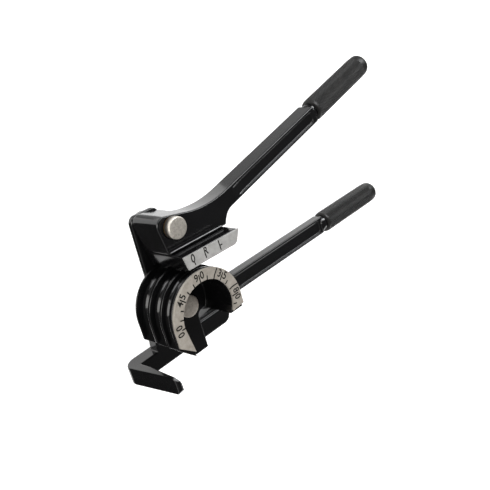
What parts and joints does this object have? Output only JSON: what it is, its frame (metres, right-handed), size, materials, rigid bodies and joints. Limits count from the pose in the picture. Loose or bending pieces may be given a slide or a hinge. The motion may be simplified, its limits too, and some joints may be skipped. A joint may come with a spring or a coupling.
{
  "type": "tube bender",
  "caption": "Hand tube bender: a grooved half wheel with a degree dial on one long handle, and a bending shoe on a second handle that swings round it on a link.",
  "frame": {"origin": "centre of the pivot pin's rear end face, on the forming wheel's axis", "axes": "+X along the lower handle towards its grip, +Y from the axis towards the dial's 90 mark, +Z along the axis towards the dial"},
  "size_m": [0.2434, 0.1269, 0.05],
  "materials": {
    "black_paint": "gloss black over a rough casting",
    "bare_metal": "machined satin",
    "pin_steel": "mottled satin",
    "grip_paint": "dark grey, diamond knurled",
    "bronze": "plain turned"
  },
  "bodies": {
    "lower_handle": {"handle_casting": "black_paint", "forming_wheel": "black_paint", "dial_ring": "bare_metal", "lower_grip": "grip_paint", "pivot_pin": "pin_steel", "pivot_washer": "pin_steel", "pivot_clip": "pin_steel", "wheel_screw_1": "pin_steel", "wheel_screw_2": "pin_steel"},
    "link": {"link": "black_paint", "pivot_bush": "bronze", "lever_pin": "pin_steel", "lever_washer": "pin_steel", "lever_clip": "pin_steel"},
    "upper_handle": {"lever": "black_paint", "lever_bush": "bronze", "shoe": "black_paint", "index_plate": "bare_metal", "shoe_pin_1": "pin_steel", "shoe_pin_2": "pin_steel", "upper_grip": "grip_paint"}
  },
  "joints": [
    {"name": "link_pivot", "type": "hinge", "parent": "lower_handle", "child": "link", "pos_m": [0, 0, 0], "axis": [0, 0, 1], "range_deg": [-91.3, 91.7]},
    {"name": "lever_pivot", "type": "hinge", "parent": "link", "child": "upper_handle", "pos_m": [0.0016, 0.04827, 0], "axis": [0, 0, 1], "range_deg": [0, 110]}
  ]
}
